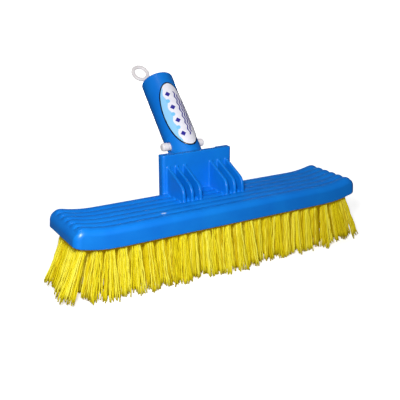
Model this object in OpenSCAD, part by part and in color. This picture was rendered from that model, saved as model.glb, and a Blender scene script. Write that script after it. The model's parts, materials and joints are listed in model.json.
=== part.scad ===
// Pool wall brush: a ribbed plastic back with a raked tube for a telescopic pole, rows of staple-set
// bristle tufts, a spring clip with two snap buttons, its pull ring, and a label.
// Millimetres, +Z up. The origin is the centre of the bristle tips; X runs along the brush and
// the pole leaves upwards and towards +Y.

/* [Brush back] */
// Overall length over the lower lip
back_length = 257.8; // [255:0.1:260]
// Width of the back
back_w = 56.4; // [56:0.1:57]
// Height from the lip to the crest of the ridges
back_h = 15; // [14.5:0.1:16]
// Number of long ridges on the top
ridges = 6; // [4:2:6]
// Distance between neighbouring ridges
ridge_pitch = 8.75; // [8.5:0.05:8.8]
// Depth of the grooves between the ridges
ridge_depth = 1.5; // [1:0.1:1.6]
// Half length of the straight middle
straight_half = 94; // [92:0.5:96]
// Radius of the upward curve of both ends, at the crest
end_curve_r = 100; // [95:1:110]
// Lean of the end faces from vertical
end_lean = 5; // [3:0.5:8]
// Radius of the four upright corners and of the long shoulders beside the ridges
corner_r = 5.8; // [4:0.1:5.9]
// Radius that the top bends over by at both ends
end_edge_r = 8; // [7.5:0.1:9]
// Depth of the hollow under the back that the tufts stand in
recess = 3; // [2:0.1:3.2]
// Thickness of the skirt around that hollow
skirt_t = 3; // [2.5:0.1:3.2]

/* [Bristles] */
// Visible length from the lip to the tips
bristle_l = 40.5; // [38:0.5:45]
// Rows of tufts across the brush
rows = 5; // [5]
// Tufts in each row
tufts = 25; // [21:2:25]
// Distance between tufts along a row, at the back
tuft_pitch = 9.85; // [9.6:0.05:9.85]
// Distance between rows, at the back
row_pitch = 9.9; // [9.7:0.1:10]
// Radius of a tuft where it is set
tuft_root_r = 2.3; // [2.1:0.1:2.3]
// Radius of a tuft at its tip
tuft_tip_r = 4.4; // [4:0.1:4.5]
// Radius of the drilled tuft holes
hole_r = 2.5; // [2.45:0.01:2.55]
// Depth of the drilled tuft holes
hole_depth = 8; // [7:0.5:8.5]
// Outward lean from one row to the next
row_lean = 3.5; // [2:0.5:4]
// How much faster the end tufts lean than the back curves
fan = 1.6; // [1.2:0.1:1.8]

/* [Tuft anchors] */
// Width of a flat anchor, wider than its hole so that it bites into the plastic
anchor_w = 6.2; // [5.6:0.1:6.6]
// Height of an anchor
anchor_h = 2; // [1.5:0.1:2.5]
// Thickness of an anchor
anchor_t = 0.4; // [0.3:0.05:0.5]

/* [Upstand] */
// Width of the upstand across the brush
wall_w = 65.6; // [62:0.1:66]
// Height of its top above the crest
wall_rise = 31.9; // [30:0.1:34]
// Distance of its front face behind the middle of the back
wall_y = 23.7; // [23:0.1:24]
// Thickness of its front plate
wall_t = 5.6; // [5:0.1:6]
// Width of the two posts at its ends
post_w = 12.2; // [10:0.1:14]
// Depth of the two posts
post_d = 7.6; // [7.5:0.1:9]
// Radius of its front corners
wall_corner_r = 2.5; // [1.5:0.1:3]
// Thickness of the six curved ribs
rib_t = 2.4; // [2:0.1:3]
// Reach of a rib in front of the plate
rib_reach = 26.2; // [25:0.1:28]
// Height of a rib above the crest
rib_h = 22.7; // [21:0.1:24]
// Slope of a rib's top edge
rib_slope = 25; // [22:1:30]
// Radius of a rib's nose
rib_nose_r = 10; // [8:0.5:12]
// Distance between neighbouring ribs of a group of three
rib_pitch = 7.6; // [7.4:0.1:8.2]
// Distance from the centre to the outermost rib
rib_outer_x = 27.6; // [27:0.1:28]

/* [Pole tube] */
// Outer radius, for the bore of a telescopic pole
tube_r = 14.25; // [14.2:0.01:14.3]
// Inner radius
tube_bore_r = 11.8; // [11.6:0.1:12]
// Rake of the tube from vertical
tube_rake = 43.4; // [42:0.1:45]
// Where the tube axis meets the height of the upstand's top
tube_y = 49.7; // [49:0.1:51]
// Length from there to the mouth
tube_l = 66.3; // [65:0.1:70]
// Depth of the bore below the level of the upstand's top
bore_below = 18; // [15:0.5:19]
// How much slimmer the foot of the tube is, where the buttons come out
foot_relief = 0.4; // [0.35:0.05:0.5]
// Where the full radius starts above the buttons
foot_top = 5.5; // [5:0.1:7]
// Rounding of the rim
rim_r = 1.2; // [0.8:0.1:1.2]

/* [Spring clip] */
// Radius of a snap button
button_r = 3.5; // [3.4:0.01:3.5]
// How far a button's end stands from the tube axis
button_reach = 20; // [19:0.1:20.5]
// Radius of the two round ends of a button's slot in the tube
slot_r = 3.75; // [3.7:0.05:4]
// Distance between those ends, which lets a button swing in
slot_drop = 1.5; // [1.4:0.1:2]
// Width of the clip's legs
leg_w = 7.6; // [7:0.1:7.6]
// Thickness of the clip's legs
leg_t = 1.8; // [1.6:0.1:1.8]
// Height of the leg hinges above the buttons
leg_l = 60.8; // [60:0.1:61]
// Half the distance between the leg hinges
leg_hinge_x = 2.6; // [2.5:0.1:3]
// Distance of the lower ends of the legs from the tube axis
leg_foot_x = 9.8; // [9.4:0.1:9.8]
// Outer radius of the pull ring
ring_r = 8.3; // [8:0.1:8.4]
// Width of the pull ring's band
ring_band = 3.4; // [3:0.1:3.6]
// Thickness of the pull ring
ring_t = 2.6; // [2.2:0.1:2.8]
// Where the middle of the ring stands across the tube
ring_x = -12.5; // [-12.8:0.1:-12]
// Where the middle of the ring stands above the mouth
ring_rise = 9.7; // [9.5:0.1:10.5]

/* [Label] */
// Height of the oval label along the tube
label_h = 63.4; // [58:0.1:64]
// Width of the oval label, measured straight across
label_w = 24.2; // [20:0.1:25]
// Height of the label's middle above the buttons
label_s = 23; // [22:0.1:25]
// Thickness of the label
label_t = 0.15; // [0.1:0.01:0.16]

/* [Hidden] */
$fn = 64;
BLUE = "#1577de";
YELLOW = "#e6d71e";
STEEL = "#b9bdc1";
WHITE = "#ece8e6";

margin = 1;
overlap = 0.1;
crest_z = bristle_l + back_h;
floor_z = bristle_l + recess;
curve_z = crest_z + end_curve_r;
outer_ridge_y = (ridges - 1) / 2 * ridge_pitch;
ridge_r = (pow(ridge_pitch / 2, 2) + pow(ridge_depth, 2)) / (2 * ridge_depth);
groove_d = ridge_depth - overlap;
round_bite = 0.12;
ridge_sink = 15;
sweep_turn = 21.5;
end_lead = 5;
body_lead = 0.3;
end_step = 0.05;
lip_curve_r = end_curve_r + back_h;
lip_turn = asin((back_length / 2 - straight_half) / lip_curve_r);
lip_end_z = bristle_l + lip_curve_r * (1 - cos(lip_turn));
end_reach = (back_length / 2 - straight_half) * cos(end_lean) - (curve_z - lip_end_z) * sin(end_lean);
bend_sine = (end_reach - end_edge_r) / (end_curve_r + end_edge_r);
bend_turn = end_lean + asin(bend_sine);
wall_top_z = crest_z + wall_rise;
wall_foot_z = bristle_l + 4;
tube_sink = 60;
floor_curve_r = curve_z - floor_z;
foot_step = 0.2;
set_gap = 0.1;
anchor_gap = 0.05;
anchor_lift = 1;
knuckle_r = 1.2;
knuckle_gap = 0.08;
ring_knuckle_r = 1.3;
ring_knuckle_lift = 0.6;
bridge_top = leg_l + 2.8;
bridge_x = 4.6;
button_neck_r = 3.1;
button_edge_r = 1.5;
button_shoulder = tube_r + 0.35;
label_gap = 0.02;

// ---- Brush back -------------------------------------------------------------------------------

// Corner of a square outside a round that meets both sides at a slight edge; the corner is the origin
module round_off(r) {
    difference() {
        translate([-r / 2, -r / 2]) square(1.5 * r);
        translate([r, r]) circle(r = r + round_bite);
    }
}

// Cross-section of the ridges as (distance below the crest, y), with a plain block beside them
module ridges_section() {
    for (i = [0 : ridges - 1])
        ridge_section(i * ridge_pitch - outer_ridge_y);
    for (side = [0, 1])
        mirror([0, side])
            translate([0, outer_ridge_y]) square([2 * ridge_depth, back_w / 2 - outer_ridge_y]);
}

module ridge_section(y) {
    intersection() {
        translate([ridge_r, y]) circle(r = ridge_r);
        translate([-margin, y - ridge_pitch / 2]) square([back_h / 2, ridge_pitch]);
    }
}

module body_section() {
    translate([groove_d, -back_w / 2]) square([back_h - groove_d, back_w]);
}

module shoulder_cuts(inset = 0) {
    for (side = [0, 1])
        mirror([0, side])
            translate([0, inset - back_w / 2]) round_off(corner_r);
}

module back_section() {
    difference() {
        union() {
            ridges_section();
            body_section();
        }
        shoulder_cuts();
    }
}

module back_block() {
    difference() {
        union() {
            along_back(bend_turn) back_section();
            for (side = [0, 1])
                mirror([side, 0, 0]) left_end();
        }
        hollow();
    }
}

// Runs a section along the straight middle and up both curved ends, as far as an angle
module along_back(turn) {
    translate([-straight_half, 0, curve_z])
        rotate([0, 90, 0])
            linear_extrude(2 * straight_half)
                translate([end_curve_r, 0]) children();
    for (side = [0, 1])
        mirror([side, 0, 0])
            left_curve(0, turn) children();
}

// Turns a section up the left end's curve, from one angle to another
module left_curve(from, to) {
    translate([-straight_half, 0, curve_z])
        rotate([0, 90, 90])
            rotate([0, 0, from])
                rotate_extrude(angle = to - from)
                    translate([end_curve_r, 0]) children();
}

// The left end beyond the curve, where the ridges bend over and sink into the end face. It starts
// inside the curved part and is a hair smaller, so that no two faces coincide.
module left_end() {
    difference() {
        union() {
            over_end(end_step, end_lead, ridge_sink) ridges_section();
            left_body();
        }
        union() {
            over_end(end_step, 2 * end_lead, 0) shoulder_cuts(end_step);
            corner_cuts();
        }
    }
}

module left_body() {
    difference() {
        intersection() {
            left_curve(bend_turn - body_lead, sweep_turn) body_section();
            behind_left_face(0);
        }
        over_end(groove_d + end_step, 2 * end_lead, 0)
            translate([-end_edge_r, -back_w]) square([end_edge_r, 2 * back_w]);
    }
}

// The hollow under the back that the tufts stand in, with the skirt left all round it
module hollow() {
    intersection() {
        along_back(sweep_turn)
            translate([back_h - recess, skirt_t - back_w / 2])
                square([recess + margin, back_w - 2 * skirt_t]);
        behind_left_face(skirt_t);
        mirror([1, 0, 0]) behind_left_face(skirt_t);
    }
}

// Everything to the right of the left end face, moved inwards by an inset
module behind_left_face(inset) {
    translate([inset - back_length / 2, -back_w, lip_end_z])
        rotate([0, end_lean, 0])
            translate([0, 0, -back_length / 2])
                cube([1.2 * back_length, 2 * back_w, back_length]);
}

// Radius of the bend of a surface some depth under the crest, which meets the end face smoothly too
function bend_r(depth) = end_edge_r - depth * bend_sine / (1 + bend_sine);

// Puts its children at the middle of that bend, with X towards the end face and -Y down it
module at_bend(depth) {
    reach = end_curve_r + depth + bend_r(depth);
    translate([-straight_half - reach * sin(bend_turn), 0, curve_z - reach * cos(bend_turn)])
        rotate([0, 90, 90])
            rotate([0, 0, 90 + end_lean])
                children();
}

// Turns a section, drawn as distance inside that surface, over the bend, starting some angle before
// it and running some angle past it
module over_end(depth, before, past) {
    at_bend(depth)
        rotate([0, 0, -past])
            rotate_extrude(angle = 90 + bend_turn - end_lean + before + past)
                translate([bend_r(depth), 0]) mirror([1, 0]) children();
}

// Rounds both upright corners of the left end, below the bend
module corner_cuts() {
    at_bend(end_step)
        translate([bend_r(end_step), margin, 0])
            rotate([90, 0, 0])
                linear_extrude(2 * back_h)
                    mirror([1, 0]) shoulder_cuts(end_step);
}

// ---- Upstand with its ribs --------------------------------------------------------------------

module upstand() {
    translate([0, 0, wall_foot_z])
        linear_extrude(wall_top_z - wall_foot_z)
            upstand_plan();
    for (side = [-1, 1])
        for (i = [0 : 2])
            rib(side * (rib_outer_x - i * rib_pitch));
}

module upstand_plan() {
    r = wall_corner_r;
    translate([r - wall_w / 2, wall_y]) square([wall_w - 2 * r, wall_t]);
    for (side = [-1, 1]) {
        translate([side * (wall_w / 2 - r), wall_y + r]) circle(r = r);
        translate([side * (wall_w - post_w) / 2 - post_w / 2, wall_y + r]) square([post_w, post_d - r]);
    }
}

// Gusset between the front plate and the ridged top, with a sloping edge and a round nose
module rib(x) {
    steps = 8;
    foot = crest_z - 2 * ridge_depth;
    back_y = wall_y + margin;
    nose_y = wall_y - rib_reach + rib_nose_r;
    slope_run = wall_y - nose_y + rib_nose_r * sin(rib_slope);
    nose_z = crest_z + rib_h - slope_run * tan(rib_slope) - rib_nose_r * cos(rib_slope);
    nose = [for (i = [0 : steps])
        let (a = 180 - (90 - rib_slope) * i / steps)
        [nose_y + rib_nose_r * cos(a), nose_z + rib_nose_r * sin(a)]];
    translate([x - rib_t / 2, 0, 0])
        rotate([90, 0, 90])
            linear_extrude(rib_t)
                polygon(concat(
                    [[wall_y - rib_reach, foot]],
                    nose,
                    [[back_y, crest_z + rib_h + margin * tan(rib_slope)], [back_y, foot]]));
}

// ---- Pole tube --------------------------------------------------------------------------------

// Puts its children in the tube's own frame: Z along the axis from the level of the upstand's top
module in_tube() {
    translate([0, tube_y, wall_top_z])
        rotate([-tube_rake, 0, 0])
            children();
}

module tube_shell() {
    root = -bore_below - margin;
    foot_r = tube_r - foot_relief;
    rim = [for (a = [0 : 15 : 90])
        [tube_r - rim_r + rim_r * cos(a), tube_l - rim_r + rim_r * sin(a)]];
    in_tube()
        rotate_extrude()
            polygon(concat(
                [[0, root], [foot_r, root]],
                [[foot_r, foot_top - foot_step / 2], [tube_r, foot_top + foot_step / 2]],
                rim,
                [[0, tube_l]]));
}

// Foot of the tube, running down behind the front plate into the rear of the back
module tube_foot() {
    intersection() {
        in_tube()
            translate([0, 0, -tube_sink])
                cylinder(r = tube_r - foot_relief, h = tube_sink);
        translate([-tube_r, wall_y + margin, wall_foot_z])
            cube([2 * tube_r, 2 * tube_r + tube_y, wall_rise + back_h]);
    }
}

module tube_cuts() {
    in_tube() {
        translate([0, 0, -bore_below]) cylinder(r = tube_bore_r, h = 2 * tube_l);
        for (s = [0, -slot_drop])
            translate([-2 * tube_r, 0, s])
                rotate([0, 90, 0])
                    cylinder(r = slot_r, h = 4 * tube_r);
        translate([-2 * tube_r, -slot_r, -slot_drop])
            cube([4 * tube_r, 2 * slot_r, slot_drop]);
    }
}

// ---- Tufts and their anchors ------------------------------------------------------------------

function sign_of(v) = v < 0 ? -1 : 1;

// Angle that the back has turned through at a distance along it from the centre
function back_turn(u) = max(0, abs(u) - straight_half) / floor_curve_r * 180 / PI;

// Puts its children at one tuft's place on the hollow's floor, with -Z running out along the tuft
module at_tuft(row, i) {
    u = (i - (tufts - 1) / 2) * tuft_pitch;
    turn = back_turn(u);
    side = sign_of(u);
    x = side * (min(abs(u), straight_half) + floor_curve_r * sin(turn));
    y = (row - (rows + 1) / 2) * row_pitch;
    z = floor_z + floor_curve_r * (1 - cos(turn));
    translate([x, y, z])
        rotate([0, -side * turn * fan, 0])
            rotate([tuft_lean(row), 0, 0])
                children();
}

function tuft_lean(row) = (row - (rows + 1) / 2) * row_lean;

// Length from the floor to the tip, with the low edge of a leaning tip held at one height
function tuft_length(row) =
    (floor_z - tuft_tip_r * sin(abs(tuft_lean(row)))) / cos(tuft_lean(row));

module tuft(row) {
    reach = tuft_length(row);
    difference() {
        rotate_extrude()
            polygon([
                [0, -reach], [tuft_tip_r, -reach], [tuft_root_r, 0],
                [tuft_root_r, hole_depth - set_gap], [0, hole_depth - set_gap]
            ]);
        translate([0, 0, anchor_z()])
            cube([anchor_w + margin, anchor_t + 2 * anchor_gap, anchor_h + 2 * anchor_gap], center = true);
    }
}

function anchor_z() = hole_depth - anchor_lift - anchor_h / 2;

module tuft_row(row) {
    color(YELLOW)
        for (i = [0 : tufts - 1])
            at_tuft(row, i) tuft(row);
}

module anchor_row(row) {
    color(STEEL)
        for (i = [0 : tufts - 1])
            at_tuft(row, i)
                translate([0, 0, anchor_z()])
                    cube([anchor_w, anchor_t, anchor_h], center = true);
}

module tuft_holes() {
    for (row = [1 : rows])
        for (i = [0 : tufts - 1])
            at_tuft(row, i)
                translate([0, 0, -margin])
                    cylinder(r = hole_r, h = hole_depth + margin);
}

module brush_back() {
    color(BLUE)
        difference() {
            union() {
                back_block();
                upstand();
                tube_shell();
                tube_foot();
            }
            tube_cuts();
            tuft_holes();
        }
}

// ---- Spring clip ------------------------------------------------------------------------------

// Round bar across the clip at a hinge
module cross_bar(x, s, r, w) {
    translate([x, w / 2, s])
        rotate([90, 0, 0])
            cylinder(r = r, h = w);
}

module clip_bridge() {
    bevel = 1.2;
    color(WHITE)
        in_tube()
            difference() {
                translate([0, leg_w / 2, 0])
                    rotate([90, 0, 0])
                        linear_extrude(leg_w)
                            polygon([
                                [-bridge_x, leg_l], [bridge_x, leg_l],
                                [bridge_x, bridge_top - bevel], [bridge_x - bevel, bridge_top],
                                [bevel - bridge_x, bridge_top], [-bridge_x, bridge_top - bevel]
                            ]);
                for (side = [-1, 1])
                    cross_bar(side * leg_hinge_x, leg_l, knuckle_r + knuckle_gap, leg_w + margin);
                cross_bar(0, bridge_top + ring_knuckle_lift, ring_knuckle_r + knuckle_gap, leg_w + margin);
            }
}

// One springy leg with its snap button; side is -1 for the left leg and 1 for the right
module clip_leg(side) {
    bend = 6;
    toe = 5;
    half = leg_t / 2;
    color(WHITE)
        in_tube()
            mirror([side < 0 ? 1 : 0, 0, 0]) {
                cross_bar(leg_hinge_x, leg_l, knuckle_r, leg_w);
                translate([0, leg_w / 2, 0])
                    rotate([90, 0, 0])
                        linear_extrude(leg_w)
                            polygon([
                                [leg_hinge_x - half, leg_l], [leg_foot_x - half, bend],
                                [leg_foot_x - half, -toe], [leg_foot_x + half, -toe],
                                [leg_foot_x + half, bend], [leg_hinge_x + half, leg_l]
                            ]);
                translate([leg_foot_x, 0, 0]) rotate([0, 90, 0]) snap_button();
            }
}

// Snap button, lying along Z from the middle of its leg
module snap_button() {
    reach = button_reach - leg_foot_x;
    shoulder = button_shoulder - leg_foot_x;
    edge = [for (a = [0 : 15 : 90])
        [button_r - button_edge_r * (1 - cos(a)), reach - button_edge_r * (1 - sin(a))]];
    rotate_extrude()
        polygon(concat(
            [[0, 0], [button_neck_r, 0], [button_neck_r, shoulder], [button_r, shoulder]],
            edge,
            [[0, reach]]));
}

module clip_pull_ring() {
    root_s = bridge_top + ring_knuckle_lift;
    centre_s = tube_l + ring_rise;
    angle = atan2(ring_x, centre_s - root_s);
    reach = norm([ring_x, centre_s - root_s]);
    mid_r = ring_r - ring_band / 2;
    root_w = 2;
    end_w = 4;
    root_d = 3;
    color(WHITE)
        in_tube() {
            cross_bar(0, root_s, ring_knuckle_r, leg_w - 1);
            translate([0, ring_t / 2, root_s])
                rotate([90, angle, 0])
                    linear_extrude(ring_t)
                        polygon([
                            [-root_w / 2, 0], [-root_w / 2, root_d], [-end_w / 2, reach - mid_r],
                            [end_w / 2, reach - mid_r], [root_w / 2, root_d], [root_w / 2, 0]
                        ]);
            translate([ring_x, 0, centre_s])
                rotate([90, 0, 0])
                    rotate_extrude() {
                        half = (ring_band - ring_t) / 2;
                        for (side = [-1, 1])
                            translate([mid_r + side * half, 0]) circle(r = ring_t / 2);
                        translate([mid_r - half, -ring_t / 2]) square([2 * half, ring_t]);
                    }
        }
}

// ---- Label ------------------------------------------------------------------------------------

// Thin oval skin that follows the tube and its slimmer foot
module label() {
    inner = tube_r + label_gap;
    foot_inner = inner - foot_relief;
    under = foot_top - foot_step / 2;
    above = foot_top + foot_step / 2;
    steps = 48;
    low = label_s - label_h / 2 - margin;
    high = label_s + label_h / 2 + margin;
    color("white")
        in_tube()
            intersection() {
                rotate_extrude()
                    polygon([
                        [foot_inner, low], [foot_inner + label_t, low],
                        [foot_inner + label_t, under], [inner + label_t, above],
                        [inner + label_t, high], [inner, high],
                        [inner, above], [foot_inner, under]
                    ]);
                translate([0, -margin, label_s])
                    rotate([90, 0, 0])
                        linear_extrude(2 * tube_r)
                            polygon([for (i = [0 : steps - 1])
                                [label_w / 2 * cos(360 * i / steps), label_h / 2 * sin(360 * i / steps)]]);
            }
}

brush_back();
tuft_row(1);  // tuft_row_1
tuft_row(2);  // tuft_row_2
tuft_row(3);  // tuft_row_3
tuft_row(4);  // tuft_row_4
tuft_row(5);  // tuft_row_5
anchor_row(1);  // anchor_row_1
anchor_row(2);  // anchor_row_2
anchor_row(3);  // anchor_row_3
anchor_row(4);  // anchor_row_4
anchor_row(5);  // anchor_row_5
clip_bridge();
clip_leg(-1);  // clip_leg_left
clip_leg(1);  // clip_leg_right
clip_pull_ring();
label();
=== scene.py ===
"""Looks of the pool wall brush: moulded back, crimped filaments, nylon clip, printed label."""

import json
import math

import bmesh
import bpy
import numpy as np
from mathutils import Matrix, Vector


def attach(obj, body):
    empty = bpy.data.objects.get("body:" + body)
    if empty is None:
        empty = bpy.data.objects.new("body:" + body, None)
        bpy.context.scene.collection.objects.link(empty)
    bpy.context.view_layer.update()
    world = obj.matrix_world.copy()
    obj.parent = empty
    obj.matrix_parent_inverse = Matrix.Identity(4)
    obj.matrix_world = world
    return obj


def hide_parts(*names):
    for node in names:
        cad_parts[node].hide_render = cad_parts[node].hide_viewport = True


MM = 0.001

# Vertices closer than this are one
WELD = 0.001 * MM

# Camera
CAMERA_AZIMUTH = -30.75
CAMERA_ELEVATION = 18.36
CAMERA_DISTANCE = 0.56
CAMERA_AIM = (-0.0031, 0.0151, 0.0482)
CAMERA_LENS = 60.97
CAMERA_NEAR = 0.01

# Light that the room gives to matt surfaces, and the little of it that shows as reflections
AMBIENT = 0.09
REFLECTED = 0.06

# Square lights: where they hang, what they point at, how wide they are, and their power
FLASH_PLACE = (-0.25, -0.33, 0.27)
FLASH_AIM = (0.0, 0.0, 0.05)
FLASH_WIDTH = 0.08
FLASH_POWER = 2.5
CEILING_PLACE = (-0.25, 0.05, 1.1)
CEILING_AIM = (0.0, 0.0, 0.05)
CEILING_WIDTH = 0.16
CEILING_POWER = 1.0
REAR_PLACE = (0.55, 0.75, 0.22)
REAR_AIM = (0.0, 0.0, 0.07)
REAR_WIDTH = 0.50
REAR_POWER = 5.0

# Floor: its glow to the camera under the brush, how that grows with distance, and its tone to
# every other ray
FLOOR_SIZE = 30.0
FLOOR_GLOW = 0.45
FLOOR_FADE = 0.8
FLOOR_BOUNCE = 0.12

# Moulded parts: the grain of the remesh, the passes that soften their edges, and the share of
# triangles kept
BACK_GRAIN = 0.50 * MM
BACK_SOFTENING = 3
BACK_KEPT = 0.30
CLIP_GRAIN = 0.22 * MM
CLIP_SOFTENING = 4
CLIP_KEPT = 0.5

# Glow in place of the light that passes through them
NYLON_GLOW = 0.14
FILAMENT_GLOW = 0.12

# The bend over both ends at groove depth: its middle, its radius, and where it ends, in degrees
# from upright
BEND_X = 120.75 * MM
BEND_Z = 49.57 * MM
BEND_RADIUS = 7.8 * MM
BEND_END = 85.0

# Angles on that bend at which the ridges start to sink into it and are level with it
BEAD_FROM = 12.0
BEAD_TO = 42.0

# Tufts: thickness of the slices of a CAD tuft that show its root and its tip, first roughly
# and then along its axis
ROOT_SLICE = 2.0 * MM
TIP_SLICE = 4.0 * MM
END_SLICE = 0.5 * MM
ROWS = 5
FIRST_SEED = 41

# Filaments, their thickness as a share of the usual one, and their waves, which start past the
# straight root
FILAMENTS_PER_TUFT = 40
FILAMENT_RADIUS = 0.52 * MM
FILAMENT_THICKNESS = (0.85, 1.12)
FILAMENT_SIDES = 5
FILAMENT_RINGS = 11
WAVE_HEIGHT = 0.26 * MM
WAVE_LENGTH = 15.0 * MM
WAVE_GROWTH = 5.0
WAVE_DELAY = 0.6

# How the tips of a tuft spread over its CAD tip and gather in bunches, and how soon they do so
TIP_SPREAD = 1.6
SPREAD_POWER = (0.70, 1.15)
BUNCHES_PER_TUFT = 6
BUNCH_SPREAD = 1.3 * MM
BUNCH_GATHERING = (0.45, 0.9)
TIP_SCATTER = 0.30 * MM
TUFT_LEAN = 2.0 * MM
STRAY_SHARE = 0.06
STRAY_REACH = 3.0 * MM

# How far tips end short of the CAD tip, how unevenly, and how near the floor they may come
TIP_TRIM = 0.4 * MM
TIP_UNEVENNESS = 1.3 * MM
BUNCH_UNEVENNESS = 1.5 * MM
TUFT_UNEVENNESS = 0.8 * MM
FLOOR_GAP = 0.05 * MM

# A small scuff on the ridged top: its place and size, where its edge lies in sizes, how ragged
# that is, and how sharp
SCUFF_PLACE = (-0.0530, -0.0158, 0.0548)
SCUFF_SIZE = (0.0026, 0.0009, 0.0030)
SCUFF_EDGE = 1.35
SCUFF_RAGGEDNESS = 0.9
SCUFF_SHARPNESS = 3.0

# Label: a skin whose face stands a little past the CAD label's
LABEL_LIFT = 0.12 * MM
LABEL_THICKNESS = 0.25 * MM
LABEL_RINGS = 26
LABEL_SPOKES = 96

# Print on the label, in mm from its middle: across it, negative to the left, and along it
PRINT_SHARPNESS = 6.0
RIM_WIDTH = 1.2
MARK_PITCH = 13.2
BAY_EDGE = -6.6
BAY_WAVE = 0.9
DISC_X = -5.4
DISC_RADIUS = 1.9
DISC_REACH = 20.0
DIAMOND_X = -3.4
DIAMOND_RADIUS = 2.6
DIAMOND_REACH = 24.0
LINES = ((2.6, 22.0), (5.2, 19.0), (7.8, 13.0))
LINE_HALF_WIDTH = 0.75
LINE_WAVE = 0.6


def smoothstep(x):
    x = np.clip(x, 0.0, 1.0)
    return x * x * (3 - 2 * x)


# ---- Materials -------------------------------------------------------------------------------


class Nodes:
    """A small helper that writes a material's node tree."""

    def __init__(self, name):
        self.material = bpy.data.materials.new(name)
        self.material.use_nodes = True
        self.tree = self.material.node_tree
        self.surface = self.tree.nodes["Principled BSDF"]
        self.coords = self.tree.nodes.new("ShaderNodeTexCoord")

    def link(self, source, target):
        if isinstance(source, (int, float)):
            target.default_value = source
        else:
            self.tree.links.new(source, target)

    def math(self, operation, a, b=0.0, clamp=False):
        node = self.tree.nodes.new("ShaderNodeMath")
        node.operation = operation
        node.use_clamp = clamp
        self.link(a, node.inputs[0])
        self.link(b, node.inputs[1])
        return node.outputs[0]

    def noise(self, scale, detail=3.0, roughness=0.55, vector=None):
        node = self.tree.nodes.new("ShaderNodeTexNoise")
        node.inputs["Scale"].default_value = scale
        node.inputs["Detail"].default_value = detail
        node.inputs["Roughness"].default_value = roughness
        self.tree.links.new(vector or self.coords.outputs["Object"], node.inputs["Vector"])
        return node.outputs["Fac"]

    def stretched(self, scale):
        node = self.tree.nodes.new("ShaderNodeMapping")
        node.inputs["Scale"].default_value = scale
        self.tree.links.new(self.coords.outputs["Object"], node.inputs["Vector"])
        return node.outputs["Vector"]

    def attribute(self, name):
        node = self.tree.nodes.new("ShaderNodeAttribute")
        node.attribute_name = name
        return node.outputs["Fac"]

    def ramp(self, value, *stops):
        node = self.tree.nodes.new("ShaderNodeValToRGB")
        elements = node.color_ramp.elements
        while len(elements) < len(stops):
            elements.new(0.5)
        for element, (place, colour) in zip(elements, stops):
            element.position = place
            element.color = (*colour, 1.0)
        self.link(value, node.inputs["Fac"])
        return node.outputs["Color"]

    def mix(self, factor, a, b):
        node = self.tree.nodes.new("ShaderNodeMix")
        node.data_type = "RGBA"
        self.link(factor, node.inputs["Factor"])
        for value, socket in ((a, node.inputs["A"]), (b, node.inputs["B"])):
            if isinstance(value, tuple):
                socket.default_value = (*value, 1.0)
            else:
                self.tree.links.new(value, socket)
        return node.outputs["Result"]

    def bump(self, height, strength, distance):
        node = self.tree.nodes.new("ShaderNodeBump")
        node.inputs["Strength"].default_value = strength
        node.inputs["Distance"].default_value = distance
        self.tree.links.new(height, node.inputs["Height"])
        self.tree.links.new(node.outputs["Normal"], self.surface.inputs["Normal"])

    def set(self, **values):
        names = {
            "colour": "Base Color", "roughness": "Roughness", "metallic": "Metallic",
            "specular": "Specular IOR Level", "coat": "Coat Weight",
            "glow": "Emission Color", "glow_strength": "Emission Strength",
        }
        for key, value in values.items():
            socket = self.surface.inputs[names[key]]
            if isinstance(value, tuple):
                socket.default_value = (*value, 1.0)
            else:
                self.link(value, socket)


def blue_plastic():
    """Moulded polypropylene: cloudy colour, soft gloss, fine mould texture, rubs and a scuff."""
    n = Nodes("blue_plastic")
    cloud = n.noise(38.0, 4.0)
    fine = n.noise(900.0, 2.0)
    colour = n.ramp(cloud, (0.30, (0.001, 0.160, 0.650)), (0.70, (0.002, 0.200, 0.720)))
    rubbed = n.noise(60.0, 6.0, 0.7, n.stretched((14.0, 60.0, 60.0)))
    rubbed = n.math("MULTIPLY", n.math("SUBTRACT", rubbed, 0.66, clamp=True), 3.2, clamp=True)
    colour = n.mix(n.math("MULTIPLY", rubbed, 0.25), colour, (0.10, 0.38, 0.86))
    n.set(
        colour=n.mix(n.math("MULTIPLY", scuff(n), 0.6), colour, (0.62, 0.72, 0.80)),
        roughness=n.math("ADD", n.math("MULTIPLY", cloud, 0.12), 0.30),
        specular=0.5,
    )
    n.bump(n.math("ADD", fine, n.math("MULTIPLY", cloud, 0.6)), 0.10, 0.0002)
    return n.material


def scuff(n):
    """How much a point lies in the short pale scratch on the ridged top, left of the ribs."""
    place = n.tree.nodes.new("ShaderNodeMapping")
    place.vector_type = "TEXTURE"
    place.inputs["Location"].default_value = SCUFF_PLACE
    place.inputs["Scale"].default_value = SCUFF_SIZE
    n.tree.links.new(n.coords.outputs["Object"], place.inputs["Vector"])
    reach = n.tree.nodes.new("ShaderNodeVectorMath")
    reach.operation = "LENGTH"
    n.tree.links.new(place.outputs["Vector"], reach.inputs[0])
    ragged = n.math("MULTIPLY", n.noise(2500.0, 3.0), SCUFF_RAGGEDNESS)
    within = n.math("SUBTRACT", SCUFF_EDGE, n.math("ADD", reach.outputs["Value"], ragged))
    return n.math("MULTIPLY", within, SCUFF_SHARPNESS, clamp=True)


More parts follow.
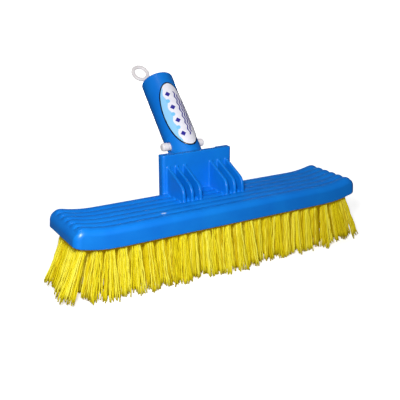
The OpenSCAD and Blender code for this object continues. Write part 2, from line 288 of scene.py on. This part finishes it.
def yellow_filament():
    """Extruded filament: its own tone to each strand, a faint painted glow for the light passing
    through, and painted orange shade and bounce at the root.
    """
    n = Nodes("yellow_filament")
    tone = n.attribute("tone")
    along = n.attribute("along")
    streak = n.noise(700.0, 2.0)
    strand = n.ramp(
        n.math("ADD", n.math("MULTIPLY", streak, 0.25), n.math("MULTIPLY", tone, 0.75)),
        (0.08, (0.50, 0.36, 0.002)), (0.45, (0.68, 0.60, 0.005)), (0.90, (0.78, 0.74, 0.080)),
    )
    # Painted shade and bounced orange light at the roots under the back's lip: darker, more orange
    # colour near the root end
    past_root_shade = n.math("MULTIPLY", n.math("SUBTRACT", along, 0.10), 5.0, clamp=True)
    root = n.math("SUBTRACT", 1.0, past_root_shade)
    colour = n.mix(n.math("MULTIPLY", root, 0.7), strand, (0.66, 0.30, 0.002))
    n.set(
        colour=colour,
        # Painted glow for light passing through the filaments, more orange at the root as painted
        # bounced light
        glow=n.mix(n.math("MULTIPLY", root, 0.6), (0.74, 0.49, 0.002), (0.72, 0.29, 0.001)),
        glow_strength=FILAMENT_GLOW,
        roughness=n.math("ADD", n.math("MULTIPLY", tone, 0.15), 0.40),
        specular=0.3,
    )
    n.bump(streak, 0.10, 0.0001)
    return n.material


def white_nylon():
    """Natural nylon: milky, slightly cloudy, and never quite dark, as a painted glow stands in for
    the light it lets in.
    """
    n = Nodes("white_nylon")
    cloud = n.noise(160.0, 3.0)
    n.set(
        colour=n.ramp(cloud, (0.3, (0.60, 0.56, 0.57)), (0.7, (0.72, 0.69, 0.69))),
        roughness=n.math("ADD", n.math("MULTIPLY", cloud, 0.12), 0.30),
        specular=0.4,
        # Painted glow in place of the light that passes through the nylon
        glow=(0.80, 0.76, 0.78),
        glow_strength=NYLON_GLOW,
    )
    n.bump(n.noise(1400.0, 2.0), 0.05, 0.0001)
    return n.material


def galvanised_wire():
    """Flat zinc-coated wire with drawn streaks."""
    n = Nodes("galvanised_wire")
    drawn = n.noise(900.0, 3.0, 0.6, n.stretched((0.2, 1.0, 6.0)))
    n.set(
        colour=n.ramp(drawn, (0.3, (0.45, 0.46, 0.48)), (0.7, (0.72, 0.73, 0.74))),
        metallic=1.0,
        roughness=n.math("ADD", n.math("MULTIPLY", drawn, 0.25), 0.28),
    )
    n.bump(drawn, 0.2, 0.00005)
    return n.material


def printed_label(half_w, half_h):
    """Printed vinyl: dark rim, pale field, light blue bay, discs, dark diamonds and wave lines."""
    n = Nodes("printed_label")
    split = n.tree.nodes.new("ShaderNodeSeparateXYZ")
    n.tree.links.new(n.coords.outputs["UV"], split.inputs[0])
    u = n.math("MULTIPLY", n.math("SUBTRACT", split.outputs[0], 0.5), 2 * half_w / MM)
    v = n.math("MULTIPLY", n.math("SUBTRACT", split.outputs[1], 0.5), 2 * half_h / MM)

    def inside(distance, limit):
        return n.math("MULTIPLY", n.math("SUBTRACT", limit, distance), PRINT_SHARPNESS, clamp=True)

    def wave(amount, length):
        turn = n.math("MULTIPLY", v, 2 * math.pi / length)
        return n.math("MULTIPLY", n.math("COSINE", turn), amount)

    def column(place, size, start, reach, power):
        """Marks in a column, one to each pitch: diamonds for a power of 1, discs for 2."""
        along = n.math("WRAP", n.math("SUBTRACT", v, start), MARK_PITCH / 2)
        along.node.inputs[2].default_value = -MARK_PITCH / 2
        across = n.math("ABSOLUTE", n.math("SUBTRACT", u, place))
        along = n.math("ABSOLUTE", along)
        away = n.math("ADD", n.math("POWER", across, power), n.math("POWER", along, power))
        mark = inside(n.math("POWER", away, 1 / power), size)
        return n.math("MULTIPLY", mark, inside(n.math("ABSOLUTE", v), reach))

    field = n.ramp(n.noise(300.0, 2.0), (0.3, (0.80, 0.79, 0.88)), (0.7, (0.87, 0.86, 0.94)))
    shore = n.math("ADD", wave(BAY_WAVE, MARK_PITCH), BAY_EDGE)
    colour = n.mix(inside(n.math("SUBTRACT", u, shore), 0.0), field, (0.28, 0.60, 0.90))
    discs = column(DISC_X, DISC_RADIUS, 0.0, DISC_REACH, 2.0)
    colour = n.mix(discs, colour, (0.19, 0.55, 0.88))
    diamonds = column(DIAMOND_X, DIAMOND_RADIUS, MARK_PITCH / 2, DIAMOND_REACH, 1.0)
    colour = n.mix(diamonds, colour, (0.030, 0.025, 0.30))
    for place, half_length in LINES:
        from_wave = n.math("SUBTRACT", u, wave(LINE_WAVE, MARK_PITCH / 2))
        off_line = n.math("ABSOLUTE", n.math("SUBTRACT", from_wave, place))
        ends = inside(n.math("ABSOLUTE", v), half_length)
        line = n.math("MULTIPLY", inside(off_line, LINE_HALF_WIDTH), ends)
        colour = n.mix(line, colour, (0.06, 0.05, 0.32))

    rim = inside(n.attribute("rim_mm"), RIM_WIDTH)
    n.set(colour=n.mix(rim, colour, (0.006, 0.008, 0.012)), roughness=0.30, specular=0.4, coat=0.2)
    n.bump(n.noise(500.0, 2.0), 0.05, 0.0001)
    return n.material


def light_path(tree, kind):
    return tree.nodes.new("ShaderNodeLightPath").outputs[kind]


def floor_paint():
    """Pale paint that glows to the camera, more so far away, and bounces little light."""
    n = Nodes("floor_paint")
    away = n.tree.nodes.new("ShaderNodeVectorMath")
    away.operation = "LENGTH"
    n.tree.links.new(n.coords.outputs["Object"], away.inputs[0])
    far = n.math("MULTIPLY", away.outputs["Value"], FLOOR_FADE, clamp=True)
    seen = light_path(n.tree, "Is Camera Ray")
    pale = n.ramp(n.noise(3.0, 2.0), (0.3, (0.90, 0.90, 0.90)), (0.7, (0.93, 0.93, 0.93)))
    n.set(
        colour=n.mix(seen, (FLOOR_BOUNCE,) * 3, pale),
        glow=(1.0, 1.0, 1.0),
        glow_strength=n.math("MULTIPLY", n.math("ADD", far, FLOOR_GLOW), seen),
        roughness=0.8,
        specular=0.0,
    )
    return n.material


# ---- Mesh helpers ----------------------------------------------------------------------------


def new_piece(name, mesh, material):
    """Links a mesh as a new smooth-shaded object with its material."""
    mesh.materials.clear()
    mesh.materials.append(material)
    mesh.polygons.foreach_set("use_smooth", [True] * len(mesh.polygons))
    obj = bpy.data.objects.new(name, mesh)
    bpy.context.scene.collection.objects.link(obj)
    return obj


def stand_for(obj, node, body):
    """Shows a piece in place of a CAD node, on that node's body."""
    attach(obj, body)
    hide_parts(node)
    return obj


def moulded_copy(node, grain, softening, kept):
    """A CAD node's shape remeshed finely and smoothed, so that its edges and joins are rounded."""
    source = frame["nodes"][node]
    mesh = source.data.copy()
    build = bmesh.new()
    build.from_mesh(mesh)
    bmesh.ops.remove_doubles(build, verts=build.verts, dist=WELD)
    build.to_mesh(mesh)
    build.free()
    draft = bpy.data.objects.new(node + "_draft", mesh)
    bpy.context.scene.collection.objects.link(draft)
    remesh = draft.modifiers.new("grain", "REMESH")
    remesh.mode = "VOXEL"
    remesh.voxel_size = grain
    smooth = draft.modifiers.new("soft", "SMOOTH")
    smooth.factor = 0.5
    smooth.iterations = softening
    thin = draft.modifiers.new("thin", "DECIMATE")
    thin.ratio = kept
    graph = bpy.context.evaluated_depsgraph_get()
    result = bpy.data.meshes.new_from_object(draft.evaluated_get(graph))
    bpy.data.objects.remove(draft)
    return result


def bead_ridge_ends(mesh):
    """Ends the ridges in beads along the top of both end faces, which stay smooth below them."""
    points = np.empty(len(mesh.vertices) * 3)
    mesh.vertices.foreach_get("co", points)
    points = points.reshape(-1, 3)
    side = np.sign(points[:, 0])
    across = points[:, 0] * side - BEND_X
    above = points[:, 2] - BEND_Z
    reach = np.hypot(across, above)
    turn = np.degrees(np.arctan2(across, above))
    on_bend = (turn > BEAD_FROM) & (turn < BEND_END)
    proud = np.where(on_bend, np.maximum(reach - BEND_RADIUS, 0.0), 0.0)
    sunk = proud * smoothstep((turn - BEAD_FROM) / (BEAD_TO - BEAD_FROM))
    scale = 1.0 - sunk / np.maximum(reach, MM)
    points[:, 0] = side * (BEND_X + across * scale)
    points[:, 2] = BEND_Z + above * scale
    mesh.vertices.foreach_set("co", points.ravel())
    mesh.update()
    return mesh


# ---- Bristles --------------------------------------------------------------------------------


def tuft_axes(node):
    """Root centre, tip centre, root radius and tip radius of each tuft of a CAD row."""
    mesh = frame["nodes"][node].data
    build = bmesh.new()
    build.from_mesh(mesh)
    bmesh.ops.remove_doubles(build, verts=build.verts, dist=WELD)
    build.verts.ensure_lookup_table()
    seen = set()
    tufts = []
    for start in build.verts:
        if start.index in seen:
            continue
        seen.add(start.index)
        group = [start]
        for vert in group:
            for edge in vert.link_edges:
                other = edge.other_vert(vert)
                if other.index not in seen:
                    seen.add(other.index)
                    group.append(other)
        points = np.array([v.co for v in group])
        tufts.append(end_discs(points))
    build.free()
    tufts.sort(key=lambda tuft: tuft[1][0])
    return tufts


def end_discs(points):
    """Centres and radii of the two end discs of a tuft-shaped cloud of points."""
    low = points[points[:, 2] < points[:, 2].min() + TIP_SLICE]
    high = points[points[:, 2] > points[:, 2].max() - ROOT_SLICE]
    axis = low.mean(0) - high.mean(0)
    axis /= np.linalg.norm(axis)
    for _ in range(3):
        along = points @ axis
        tip = points[along > along.max() - END_SLICE]
        root = points[along < along.min() + END_SLICE]
        axis = tip.mean(0) - root.mean(0)
        axis /= np.linalg.norm(axis)
    root_r = np.linalg.norm(root - root.mean(0), axis=1).max()
    tip_r = np.linalg.norm(tip - tip.mean(0), axis=1).max()
    return root.mean(0), tip.mean(0), root_r, tip_r


def filament_paths(root, tip, root_r, tip_r, rng):
    """Centre lines of one tuft's filaments, as an array of filament, ring and x, y, z."""
    axis = tip - root
    length = np.linalg.norm(axis)
    axis = axis / length
    side = np.cross(axis, (0.0, 1.0, 0.0))
    side /= np.linalg.norm(side)
    other = np.cross(axis, side)
    count = FILAMENTS_PER_TUFT
    index = np.arange(count)
    radius = np.sqrt((index + 0.5) / count)
    turn = index * math.pi * (3 - math.sqrt(5)) + rng.uniform(0, 2 * math.pi)
    across = np.stack([radius * np.cos(turn), radius * np.sin(turn)], axis=1)
    bunch = np.floor((turn + radius) / (2 * math.pi) * BUNCHES_PER_TUFT).astype(int)
    bunch %= BUNCHES_PER_TUFT
    inner = across * (root_r - FILAMENT_RADIUS)
    outer = across * (tip_r * TIP_SPREAD - FILAMENT_RADIUS)
    for k in range(BUNCHES_PER_TUFT):
        members = bunch == k
        if members.any():
            gathered = outer[members].mean(0) + rng.normal(0, BUNCH_SPREAD, 2)
            outer[members] = gathered + (outer[members] - gathered) * rng.uniform(*BUNCH_GATHERING)
    outer += rng.normal(0, TIP_SCATTER, outer.shape) + rng.normal(0, TUFT_LEAN, 2)
    stray = rng.random(count) < STRAY_SHARE
    outer[stray] += rng.normal(0, STRAY_REACH, (stray.sum(), 2))
    reach = length + rng.normal(0, TIP_UNEVENNESS, count) - TIP_TRIM
    bunch_reach = rng.normal(0, BUNCH_UNEVENNESS, BUNCHES_PER_TUFT)
    reach += bunch_reach[bunch] + rng.normal(0, TUFT_UNEVENNESS)
    t = np.linspace(0.0, 1.0, FILAMENT_RINGS)
    spread = t[None, :, None] ** rng.uniform(*SPREAD_POWER, (count, 1, 1))
    offset = inner[:, None, :] * (1 - spread) + outer[:, None, :] * spread
    phase = rng.uniform(0, 2 * math.pi, (count, 1, 2))
    swing = np.sin(reach[:, None, None] * t[None, :, None] * 2 * math.pi / WAVE_LENGTH + phase)
    waviness = smoothstep(t * WAVE_GROWTH - WAVE_DELAY)
    offset = offset + swing * WAVE_HEIGHT * waviness[None, :, None]
    depth = reach[:, None] * t[None, :]
    return (
        root
        + axis * depth[:, :, None]
        + side * offset[:, :, 0:1]
        + other * offset[:, :, 1:2]
    )


def bristle_row(node, name, seed, material):
    """Every filament of one row of tufts as one mesh."""
    rng = np.random.default_rng(seed)
    paths = np.concatenate([filament_paths(*tuft, rng) for tuft in tuft_axes(node)])
    count, rings, _ = paths.shape
    sides = FILAMENT_SIDES
    tangent = np.gradient(paths, axis=1)
    tangent /= np.linalg.norm(tangent, axis=2, keepdims=True)
    u = np.cross(tangent, (0.0, 1.0, 0.0))
    u /= np.linalg.norm(u, axis=2, keepdims=True)
    w = np.cross(tangent, u)
    thickness = FILAMENT_RADIUS * rng.uniform(*FILAMENT_THICKNESS, (count, 1, 1, 1))
    angle = np.arange(sides) * 2 * math.pi / sides + rng.uniform(0, 2 * math.pi, (count, 1))
    cos = np.cos(angle)[:, None, :, None] * thickness
    sin = np.sin(angle)[:, None, :, None] * thickness
    verts = paths[:, :, None, :] + u[:, :, None, :] * cos + w[:, :, None, :] * sin
    verts = verts.reshape(-1, 3)
    verts[:, 2] = np.maximum(verts[:, 2], FLOOR_GAP)
    base = np.arange(count) * rings * sides
    ring = np.arange(rings - 1) * sides
    k = np.arange(sides)
    a = base[:, None, None] + ring[None, :, None] + k
    b = base[:, None, None] + ring[None, :, None] + (k + 1) % sides
    quads = np.stack([a, a + sides, b + sides, b], axis=-1).reshape(-1, 4)
    root_caps = base[:, None] + k[None, :]
    tip_caps = base[:, None] + (rings - 1) * sides + k[None, ::-1]
    faces = quads.tolist() + root_caps.tolist() + tip_caps.tolist()
    mesh = bpy.data.meshes.new(name)
    mesh.from_pydata(verts.tolist(), [], faces)
    mesh.update()
    tone = np.repeat(rng.random(count), rings * sides)
    along = np.tile(np.repeat(np.linspace(0, 1, rings), sides), count)
    for key, values in (("tone", tone), ("along", along)):
        layer = mesh.attributes.new(key, "FLOAT", "POINT")
        layer.data.foreach_set("value", values.astype(np.float32))
    return new_piece(name, mesh, material)


# ---- Label -----------------------------------------------------------------------------------


def label_piece(name):
    """The oval label as a thin curved skin that wraps the front of the tube."""
    cad_label = frame["nodes"]["label"].data
    points = np.array([v.co for v in cad_label.vertices]) - TUBE_ORIGIN
    along = points @ TUBE_AXIS
    half_h = (along.max() - along.min()) / 2
    middle = (along.max() + along.min()) / 2
    half_w = np.abs(points[:, 0]).max()
    cad_r = np.hypot(points[:, 0], points @ TUBE_REAR).max()
    outer = cad_r + LABEL_LIFT
    arc = outer * math.asin(half_w / outer)
    verts, uvs, rims, faces = [], [], [], []

    def skin(radius, shrink):
        start = len(verts)
        for ring in range(LABEL_RINGS + 1):
            share = ring / LABEL_RINGS * shrink
            for spoke in range(LABEL_SPOKES):
                turn = spoke * 2 * math.pi / LABEL_SPOKES
                p, q = share * math.cos(turn), share * math.sin(turn)
                swing = p * arc / outer
                verts.append(
                    TUBE_ORIGIN
                    + TUBE_AXIS * (middle + q * half_h)
                    + np.array((radius * math.sin(swing), 0, 0))
                    - TUBE_REAR * radius * math.cos(swing)
                )
                uvs.append((0.5 + p / 2, 0.5 + q / 2))
                slope = math.hypot(math.cos(turn) / arc, math.sin(turn) / half_h)
                rims.append((1 - share) / slope / MM)
        return start

    top = skin(outer, 1.0)
    bottom = skin(outer - LABEL_THICKNESS, 1.0)
    for start, order in ((top, 1), (bottom, -1)):
        for ring in range(LABEL_RINGS):
            for spoke in range(LABEL_SPOKES):
                nxt = (spoke + 1) % LABEL_SPOKES
                low, high = start + ring * LABEL_SPOKES, start + (ring + 1) * LABEL_SPOKES
                faces.append([low + spoke, high + spoke, high + nxt, low + nxt][::order])
    edge = LABEL_RINGS * LABEL_SPOKES
    for spoke in range(LABEL_SPOKES):
        nxt = (spoke + 1) % LABEL_SPOKES
        above, below = top + edge, bottom + edge
        faces.append([above + spoke, below + spoke, below + nxt, above + nxt])
    mesh = bpy.data.meshes.new(name)
    mesh.from_pydata([tuple(v) for v in verts], [], faces)
    layer = mesh.uv_layers.new(name="UVMap")
    for loop in mesh.loops:
        layer.data[loop.index].uv = uvs[loop.vertex_index]
    mesh.attributes.new("rim_mm", "FLOAT", "POINT").data.foreach_set("value", rims)
    build = bmesh.new()
    build.from_mesh(mesh)
    bmesh.ops.remove_doubles(build, verts=build.verts, dist=WELD)
    bmesh.ops.recalc_face_normals(build, faces=build.faces)
    build.to_mesh(mesh)
    build.free()
    return new_piece(name, mesh, printed_label(arc, half_h))


# ---- Room ------------------------------------------------------------------------------------


def look_at(obj, place, target):
    """Puts a camera or light at a place, turned towards a target."""
    obj.location = place
    obj.rotation_euler = (Vector(target) - Vector(place)).to_track_quat("-Z", "Y").to_euler()


def softbox(name, place, target, width, power):
    light = bpy.data.lights.new(name, "AREA")
    light.shape = "SQUARE"
    light.size = width
    light.energy = power
    obj = bpy.data.objects.new(name, light)
    bpy.context.scene.collection.objects.link(obj)
    look_at(obj, place, target)
    return obj


def room():
    """The floor and lights; the rear light makes no reflections."""
    bpy.ops.mesh.primitive_plane_add(size=FLOOR_SIZE)
    floor = bpy.context.object
    floor.name = "floor"
    floor.data.materials.append(floor_paint())
    softbox("flash", FLASH_PLACE, FLASH_AIM, FLASH_WIDTH, FLASH_POWER)
    softbox("ceiling", CEILING_PLACE, CEILING_AIM, CEILING_WIDTH, CEILING_POWER)
    rear = softbox("rear", REAR_PLACE, REAR_AIM, REAR_WIDTH, REAR_POWER)
    rear.visible_glossy = False
    bpy.context.scene.world = lit_room()
    bpy.context.scene.view_settings.view_transform = "Standard"


def lit_room():
    """White to the camera, dimmer as light on matt surfaces, and darker still as a reflection."""
    world = bpy.data.worlds.new("room")
    world.use_nodes = True
    tree = world.node_tree
    strength = tree.nodes.new("ShaderNodeMix")
    strength.inputs["A"].default_value = AMBIENT
    strength.inputs["B"].default_value = REFLECTED
    tree.links.new(light_path(tree, "Is Glossy Ray"), strength.inputs["Factor"])
    seen = tree.nodes.new("ShaderNodeMix")
    seen.inputs["B"].default_value = 1.0
    tree.links.new(strength.outputs["Result"], seen.inputs["A"])
    tree.links.new(light_path(tree, "Is Camera Ray"), seen.inputs["Factor"])
    sky = tree.nodes["Background"]
    sky.inputs["Color"].default_value = (1.0, 1.0, 1.0, 1.0)
    tree.links.new(seen.outputs["Result"], sky.inputs["Strength"])
    return world


def camera():
    azimuth, elevation = math.radians(CAMERA_AZIMUTH), math.radians(CAMERA_ELEVATION)
    back = Vector((
        math.sin(azimuth) * math.cos(elevation),
        -math.cos(azimuth) * math.cos(elevation),
        math.sin(elevation),
    ))
    obj = bpy.data.objects.new("camera", bpy.data.cameras.new("camera"))
    obj.data.lens = CAMERA_LENS
    obj.data.clip_start = CAMERA_NEAR
    bpy.context.scene.collection.objects.link(obj)
    look_at(obj, Vector(CAMERA_AIM) + back * CAMERA_DISTANCE, CAMERA_AIM)
    bpy.context.scene.camera = obj


# ---- The brush -------------------------------------------------------------------------------

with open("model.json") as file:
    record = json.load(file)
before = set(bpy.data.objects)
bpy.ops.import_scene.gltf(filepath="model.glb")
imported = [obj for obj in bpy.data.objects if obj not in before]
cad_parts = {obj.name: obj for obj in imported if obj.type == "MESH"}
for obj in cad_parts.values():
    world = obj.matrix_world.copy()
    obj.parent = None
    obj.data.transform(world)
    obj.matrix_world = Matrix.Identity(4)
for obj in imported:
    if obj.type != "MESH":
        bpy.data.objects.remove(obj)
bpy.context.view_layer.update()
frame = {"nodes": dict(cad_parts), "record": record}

mounts = {mount["name"]: mount for mount in frame["record"]["mounts"]}
TUBE_AXIS = np.array(mounts["pole_socket"]["axis"], float)
TUBE_REAR = np.cross(TUBE_AXIS, (1.0, 0.0, 0.0))
TUBE_ORIGIN = np.array(mounts["snap_button_left"]["pos_m"], float) * (0, 1, 1)

moulding = bead_ridge_ends(moulded_copy("brush_back", BACK_GRAIN, BACK_SOFTENING, BACK_KEPT))
back = new_piece("moulded_back", moulding, blue_plastic())
stand_for(back, "brush_back", "brush")

bristle = yellow_filament()
wire = galvanised_wire()
for row in range(1, ROWS + 1):
    tufts = f"tuft_row_{row}"
    piece = bristle_row(tufts, f"bristle_row_{row}", FIRST_SEED + row - 1, bristle)
    stand_for(piece, tufts, "brush")
    anchors = frame["nodes"][f"anchor_row_{row}"]
    anchors.data.materials.clear()
    anchors.data.materials.append(wire)

nylon = white_nylon()
for node, body in (
    ("clip_bridge", "brush"),
    ("clip_leg_left", "left_leg"),
    ("clip_leg_right", "right_leg"),
    ("clip_pull_ring", "pull_ring"),
):
    shape = moulded_copy(node, CLIP_GRAIN, CLIP_SOFTENING, CLIP_KEPT)
    piece = new_piece(node.replace("clip_", "nylon_"), shape, nylon)
    stand_for(piece, node, body)

stand_for(label_piece("printed_label"), "label", "brush")

room()
camera()
